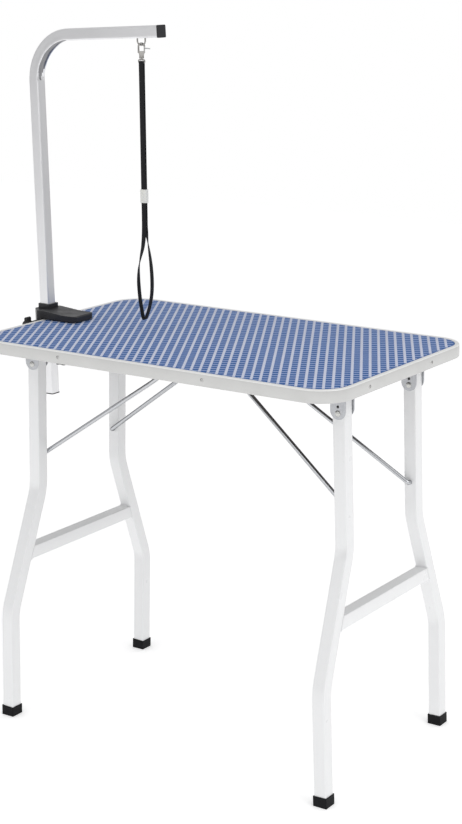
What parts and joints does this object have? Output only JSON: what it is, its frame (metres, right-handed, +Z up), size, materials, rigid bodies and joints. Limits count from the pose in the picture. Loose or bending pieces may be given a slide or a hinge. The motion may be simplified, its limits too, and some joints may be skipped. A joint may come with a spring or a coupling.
{
  "type": "folding pet grooming table",
  "caption": "Folding grooming table with a matted top, splayed tube legs, rod braces and a clamp-on overhead arm with a hanging noose.",
  "frame": {"origin": "on the floor, below the centre of the table's overall box", "axes": "+Z up; the long side of the top runs along X with the arm at -X; +Y runs across the top"},
  "size_m": [0.8312, 0.4944, 1.3327],
  "materials": {
    "board_wood": "plywood core, unfinished underside",
    "mat_rubber": "ribbed blue rubber with pale stripes",
    "trim_metal": "satin rolled edge channel",
    "bracket_steel": "galvanised plate",
    "leg_paint": "white powder coat",
    "black_rubber": "matt black rubber",
    "rod_chrome": "bright chrome rod",
    "clamp_black": "moulded black, slight sheen",
    "arm_satin": "satin silver tube",
    "black_plastic": "dark moulded cap",
    "hook_zinc": "plated cast hook",
    "zinc_screw": "zinc-plated screw",
    "webbing": "black woven webbing",
    "slide_plastic": "pale translucent plastic",
    "nylon": "natural nylon"
  },
  "bodies": {
    "table": {"board": "board_wood", "rubber_mat": "mat_rubber", "edge_trim": "trim_metal", "trim_screws": "zinc_screw", "left_front_bracket": "bracket_steel", "left_rear_bracket": "bracket_steel", "right_front_bracket": "bracket_steel", "right_rear_bracket": "bracket_steel", "bracket_screws": "zinc_screw", "hinge_pins": "zinc_screw", "brace_hook_plate": "bracket_steel", "hook_plate_screws": "zinc_screw", "clamp_body": "clamp_black", "clamp_jaw_pad": "black_rubber"},
    "left_frame": {"left_front_leg": "leg_paint", "left_rear_leg": "leg_paint", "left_crossbar": "leg_paint", "left_front_foot": "black_rubber", "left_rear_foot": "black_rubber", "left_leg_plugs": "black_plastic"},
    "right_frame": {"right_front_leg": "leg_paint", "right_rear_leg": "leg_paint", "right_crossbar": "leg_paint", "right_front_foot": "black_rubber", "right_rear_foot": "black_rubber", "right_leg_plugs": "black_plastic"},
    "left_front_brace": {"left_front_brace": "rod_chrome"},
    "left_rear_brace": {"left_rear_brace": "rod_chrome"},
    "right_front_brace": {"right_front_brace": "rod_chrome"},
    "right_rear_brace": {"right_rear_brace": "rod_chrome"},
    "clamp_foot": {"clamp_foot": "clamp_black"},
    "clamp_screw": {"clamp_screw": "zinc_screw", "clamp_knob": "clamp_black"},
    "lock_shoe": {"lock_shoe": "nylon"},
    "lock_screw": {"lock_screw": "zinc_screw", "lock_knob": "clamp_black"},
    "arm": {"arm_tube": "arm_satin", "arm_end_cap": "black_plastic", "arm_tail_plug": "black_plastic", "noose_eye": "hook_zinc"},
    "hook": {"snap_hook": "hook_zinc", "gate_pin": "hook_zinc"},
    "gate": {"snap_gate": "hook_zinc"},
    "swivel": {"swivel_eye": "hook_zinc", "noose_strap": "webbing"},
    "slide": {"noose_slide": "slide_plastic"}
  },
  "joints": [
    {"name": "left_fold", "type": "hinge", "parent": "table", "child": "left_frame", "pos_m": [-0.3246, 0, 0.699], "axis": [0, -1, 0], "range_deg": [0, 91.8]},
    {"name": "left_front_brace_swing", "type": "hinge", "parent": "left_frame", "child": "left_front_brace", "pos_m": [-0.33039, 0, 0.51459], "axis": [0, 1, 0], "range_deg": [0, 121.63]},
    {"name": "left_rear_brace_swing", "type": "hinge", "parent": "left_frame", "child": "left_rear_brace", "pos_m": [-0.33039, 0, 0.51459], "axis": [0, 1, 0], "range_deg": [0, 121.63]},
    {"name": "right_fold", "type": "hinge", "parent": "table", "child": "right_frame", "pos_m": [0.3594, 0, 0.699], "axis": [0, 1, 0], "range_deg": [0, 85.8]},
    {"name": "right_front_brace_swing", "type": "hinge", "parent": "right_frame", "child": "right_front_brace", "pos_m": [0.36519, 0, 0.51459], "axis": [0, -1, 0], "range_deg": [0, 121.63]},
    {"name": "right_rear_brace_swing", "type": "hinge", "parent": "right_frame", "child": "right_rear_brace", "pos_m": [0.36519, 0, 0.51459], "axis": [0, -1, 0], "range_deg": [0, 121.63]},
    {"name": "arm_height", "type": "slide", "parent": "table", "child": "arm", "axis": [-0.0175, 0, 0.9998], "range_m": [-0.012, 0.078]},
    {"name": "clamp_travel", "type": "slide", "parent": "table", "child": "clamp_foot", "axis": [0, 0, -1], "range_m": [0, 0.006]},
    {"name": "clamp_turn", "type": "hinge", "parent": "clamp_foot", "child": "clamp_screw", "pos_m": [-0.3486, -0.014, 0.7], "axis": [0, 0, -1], "range_deg": [0, 1085]},
    {"name": "lock_travel", "type": "slide", "parent": "table", "child": "lock_shoe", "axis": [0, -1, 0], "range_m": [0, 0.003]},
    {"name": "lock_turn", "type": "hinge", "parent": "lock_shoe", "child": "lock_screw", "pos_m": [-0.3946, -0.04, 0.757], "axis": [0, -1, 0], "range_deg": [0, 725]},
    {"name": "hook_swing", "type": "hinge", "parent": "arm", "child": "hook", "pos_m": [-0.1501, -0.005, 1.295], "axis": [1, 0, 0], "range_deg": [-30, 30]},
    {"name": "gate_press", "type": "hinge", "parent": "hook", "child": "gate", "pos_m": [-0.14695, -0.00125, 1.2823], "axis": [0.766, -0.6428, 0], "range_deg": [0, 21], "stiffness_Nm_per_rad": 0.02, "springref_deg": -17.19},
    {"name": "swivel_turn", "type": "hinge", "parent": "hook", "child": "swivel", "pos_m": [-0.1501, -0.005, 1.27], "axis": [0, 0, 1], "continuous": true},
    {"name": "slide_travel", "type": "slide", "parent": "swivel", "child": "slide", "axis": [0, 0, 1], "range_m": [-0.03, 0.2]}
  ],
  "couplings": [
    {"joint": "left_front_brace_swing", "follows": "left_fold", "ratio": 1.3195},
    {"joint": "left_rear_brace_swing", "follows": "left_fold", "ratio": 1.3195},
    {"joint": "right_front_brace_swing", "follows": "right_fold", "ratio": 1.4118},
    {"joint": "right_rear_brace_swing", "follows": "right_fold", "ratio": 1.4118},
    {"joint": "clamp_turn", "follows": "clamp_travel", "rad_per_m": 3141.6},
    {"joint": "lock_turn", "follows": "lock_travel", "rad_per_m": 4188.8}
  ]
}
